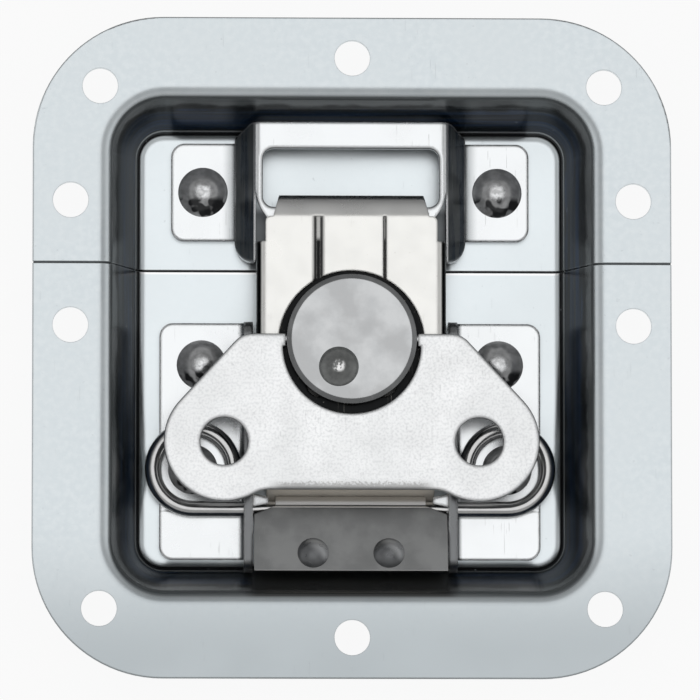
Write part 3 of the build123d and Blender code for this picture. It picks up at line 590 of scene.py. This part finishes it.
# Painted shade on the disc's rounded rim.
rim = cam.ramp(cam.axis(cam.normal_here, "Z"), 0.97, 0.84)
colour = cam.blend(cam.vary(mottle, 0.0, 1.0), turned_shade, turned_grey)
colour = cam.paint(colour, turned_stain, stain, 0.55)
colour = cam.paint(colour, rim_painted_shade, rim)
colour = cam.paint(colour, turned_scratch, marks, 0.4)
colour = cam.paint(colour, turned_edge, cam.worn_edges(), 0.2)
roughness = cam.minus(cam.vary(mottle, 0.30, 0.40), cam.times(rim, 0.10))
height = cam.minus(cam.plus(grain, cam.times(rings.outputs["Fac"], 0.8)), marks)
turned_steel = cam.finish(colour, roughness, height, 0.006)
dress(turned_steel, "cam_disc", "axle_washer", "crank_roller")

pin_dark = (0.10, 0.105, 0.105)
pin_grey = (0.24, 0.245, 0.24)
pin_painted_highlight = (0.88, 0.88, 0.88)
pin_shadow = (0.03, 0.03, 0.03)

pin = Finish("crank pin steel", edge_radius=0.15, metallic=0.6)
level = pin.axis(pin.normal_here, "Z")
mottle = pin.cloud(0.9, detail=4.0, shift=(2, 2, 1))
highlight_breakup = pin.ramp(pin.cloud(0.6, detail=2.0, shift=(5, 1, 0)), 0.42, 0.55)
# A painted highlight on the crown, and painted shade on the sides.
star_highlight = pin.times(pin.ramp(level, 0.955, 0.995), highlight_breakup)
colour = pin.blend(mottle, pin_dark, pin_grey)
colour = pin.paint(colour, pin_painted_highlight, star_highlight)
colour = pin.paint(colour, pin_shadow, pin.ramp(level, 0.62, 0.35))
dress(pin.finish(colour, pin.vary(mottle, 0.14, 0.24), mottle, 0.010), "crank_pin")

# ---------------------------------------------------------------- Wing
# The stamped butterfly that a finger lifts and turns. Tumbled after blanking
# and plated white zinc: soft edges, and a fine speckle all over.

wing_white = (0.86, 0.872, 0.875)
wing_shade = (0.74, 0.75, 0.755)
wing_bright = (0.91, 0.915, 0.92)
wing_speckle = (0.62, 0.635, 0.645)
wing_side_painted_shade = (0.45, 0.455, 0.46)
waist_painted_shade = (0.24, 0.24, 0.235)
wing_mark = (0.50, 0.50, 0.51)
waist_along = (-20.6, -21.6)
waist_across = (14.5, 11.0)

wing = Finish("wing white zinc", edge_radius=0.65)
across = wing.distance(wing.axis(wing.point, "X"))
along = wing.axis(wing.point, "Y")
grain = wing.cloud(0.24)
speckle = wing.cloud(0.42, shift=(2, 9, 0))
broad = wing.ramp(wing.cloud(17.0, detail=2.0, shift=(9, 2, 0)), 0.36, 0.62)
mottle = wing.cloud(6.0, detail=4.0, shift=(3, 0, 0))
dents = wing.ramp(wing.cloud(0.9, detail=2.0, shift=(6, 6, 0)), 0.64, 0.76)
scratches = wing.plus(
    wing.scratches(turn=-45, width=0.12, length=3.0, share=0.6, shift=(2, 3, 0)),
    wing.scratches(turn=40, width=0.12, length=2.5, share=0.6, shift=(7, 3, 0)),
)
marks = wing.plus(scratches, dents)
# Painted shade on the rounded sides and in a ragged band above the waist's edge.
side = wing.ramp(wing.axis(wing.normal_here, "Z"), 0.93, 0.30)
ragged_along = wing.plus(along, wing.times(speckle, 2.6))
waist = wing.times(wing.ramp(ragged_along, *waist_along), wing.ramp(across, *waist_across))
colour = wing.blend(mottle, wing_shade, wing_white)
colour = wing.paint(colour, wing_bright, broad, 0.5)
colour = wing.paint(colour, wing_speckle, wing.ramp(speckle, 0.40, 0.68), 0.55)
colour = wing.paint(colour, wing_side_painted_shade, side)
colour = wing.paint(colour, waist_painted_shade, waist, 0.7)
colour = wing.paint(colour, wing_mark, marks, 0.30)
height = wing.minus(wing.plus(grain, speckle), wing.times(marks, 0.9))
dress(wing.finish(colour, wing.vary(mottle, 0.27, 0.37), height, 0.009), "wing")

# ---------------------------------------------------------------- Floor, light and camera
# A plain pale floor under the latch and one large soft light overhead. The room
# round it is light near the floor and greyer above, so the bends read as metal.

# The floor takes light and shadow as white paper does. Looked at straight or in a
# reflection it is mostly plain white, so that it stays even out to its edges.
floor_size = 14
floor_gap = 0.0002
floor_white = 0.9
floor_shown_plain = 0.90

bpy.ops.object.select_all(action="DESELECT")
bpy.ops.mesh.primitive_plane_add(size=floor_size, location=(0, 0, 0))
floor = bpy.context.object
floor.name = "floor"
floor.data.transform(Matrix.Translation((0, 0, cad_low[2] - floor_gap)))
paper = bpy.data.materials.new("pale floor")
paper.use_nodes = True
tree = paper.node_tree
tree.nodes.clear()
out = tree.nodes.new("ShaderNodeOutputMaterial")
lit = tree.nodes.new("ShaderNodeBsdfDiffuse")
lit.inputs["Color"].default_value = (floor_white, floor_white, floor_white, 1)
plain = tree.nodes.new("ShaderNodeEmission")
plain.inputs["Color"].default_value = (1, 1, 1, 1)
plain.inputs["Strength"].default_value = 1.0
path = tree.nodes.new("ShaderNodeLightPath")
seen = path.outputs["Is Camera Ray"]
for kind in ("Is Transmission Ray", "Is Glossy Ray"):
    either = tree.nodes.new("ShaderNodeMath")
    either.operation = "MAXIMUM"
    tree.links.new(seen, either.inputs[0])
    tree.links.new(path.outputs[kind], either.inputs[1])
    seen = either.outputs[0]
share = tree.nodes.new("ShaderNodeMath")
share.operation = "MULTIPLY"
share.inputs[1].default_value = floor_shown_plain
tree.links.new(seen, share.inputs[0])
mix = tree.nodes.new("ShaderNodeMixShader")
tree.links.new(share.outputs[0], mix.inputs[0])
tree.links.new(lit.outputs[0], mix.inputs[1])
tree.links.new(plain.outputs[0], mix.inputs[2])
tree.links.new(mix.outputs[0], out.inputs[0])
floor.data.materials.append(paper)

softbox = bpy.data.lights.new("softbox", "AREA")
softbox.shape = "RECTANGLE"
softbox.size = 1.7
softbox.size_y = 1.5
softbox.energy = 4.75
softbox_object = bpy.data.objects.new("softbox", softbox)
softbox_object.location = (0.0, 0.13, 1.7)
bpy.context.scene.collection.objects.link(softbox_object)

# The room's light by height, from level (0) to straight up (1): one run for the
# sides, and one each for the room past the lid's end and past the body's end.
surroundings = {
    "sides": ((0.0, 0.85), (0.35, 0.85), (0.60, 0.50), (0.85, 0.40), (1.0, 0.60)),
    "lid end": ((0.0, 0.55), (0.35, 0.50), (0.70, 0.38), (0.90, 0.42), (1.0, 0.60)),
    "body end": ((0.0, 0.80), (0.25, 0.70), (0.60, 0.50), (0.85, 0.44), (1.0, 0.60)),
}
end_near = 0.05
end_far = 0.55

world = bpy.data.worlds.new("studio")
bpy.context.scene.world = world
world.use_nodes = True
tree = world.node_tree
tree.nodes.clear()
out = tree.nodes.new("ShaderNodeOutputWorld")
sky = tree.nodes.new("ShaderNodeBackground")
where = tree.nodes.new("ShaderNodeTexCoord")
split = tree.nodes.new("ShaderNodeSeparateXYZ")
tree.links.new(where.outputs["Generated"], split.inputs[0])
levels = {}
for name, stops in surroundings.items():
    ramp = tree.nodes.new("ShaderNodeValToRGB")
    first, last = ramp.color_ramp.elements
    first.position = stops[0][0]
    last.position = stops[-1][0]
    for place, level in stops[1:-1]:
        ramp.color_ramp.elements.new(place)
    for stop, (place, level) in zip(ramp.color_ramp.elements, stops):
        stop.color = (level, level, level, 1)
    tree.links.new(split.outputs["Z"], ramp.inputs[0])
    levels[name] = ramp.outputs[0]
room = levels["sides"]
for name, direction in (("lid end", 1), ("body end", -1)):
    share = tree.nodes.new("ShaderNodeMapRange")
    share.interpolation_type = "SMOOTHSTEP"
    share.inputs["From Min"].default_value = direction * end_near
    share.inputs["From Max"].default_value = direction * end_far
    tree.links.new(split.outputs["Y"], share.inputs["Value"])
    mix = tree.nodes.new("ShaderNodeMix")
    mix.data_type = "RGBA"
    tree.links.new(share.outputs["Result"], mix.inputs["Factor"])
    tree.links.new(room, mix.inputs["A"])
    tree.links.new(levels[name], mix.inputs["B"])
    room = mix.outputs["Result"]
tree.links.new(room, sky.inputs["Color"])
tree.links.new(sky.outputs[0], out.inputs[0])

lens = bpy.data.cameras.new("camera")
lens.lens = 465.4
lens.sensor_width = 36.0
lens.clip_start = 0.01
camera = bpy.data.objects.new("camera", lens)
camera_distance = 1.50
lean_back = math.radians(5.5)
lean_left = math.radians(1.8)
aim = Vector((-0.00035, -0.0004, 0.0))
towards = Vector((-math.sin(lean_left), -math.sin(lean_back), math.cos(lean_back))).normalized()
camera.location = aim + towards * camera_distance
upright = (Vector((0, 1, 0)) - towards * towards.y).normalized()
turned = Matrix((upright.cross(towards), upright, towards)).transposed()
camera.rotation_euler = turned.to_euler()
bpy.context.scene.collection.objects.link(camera)
bpy.context.scene.camera = camera
bpy.context.scene.view_settings.view_transform = "Standard"
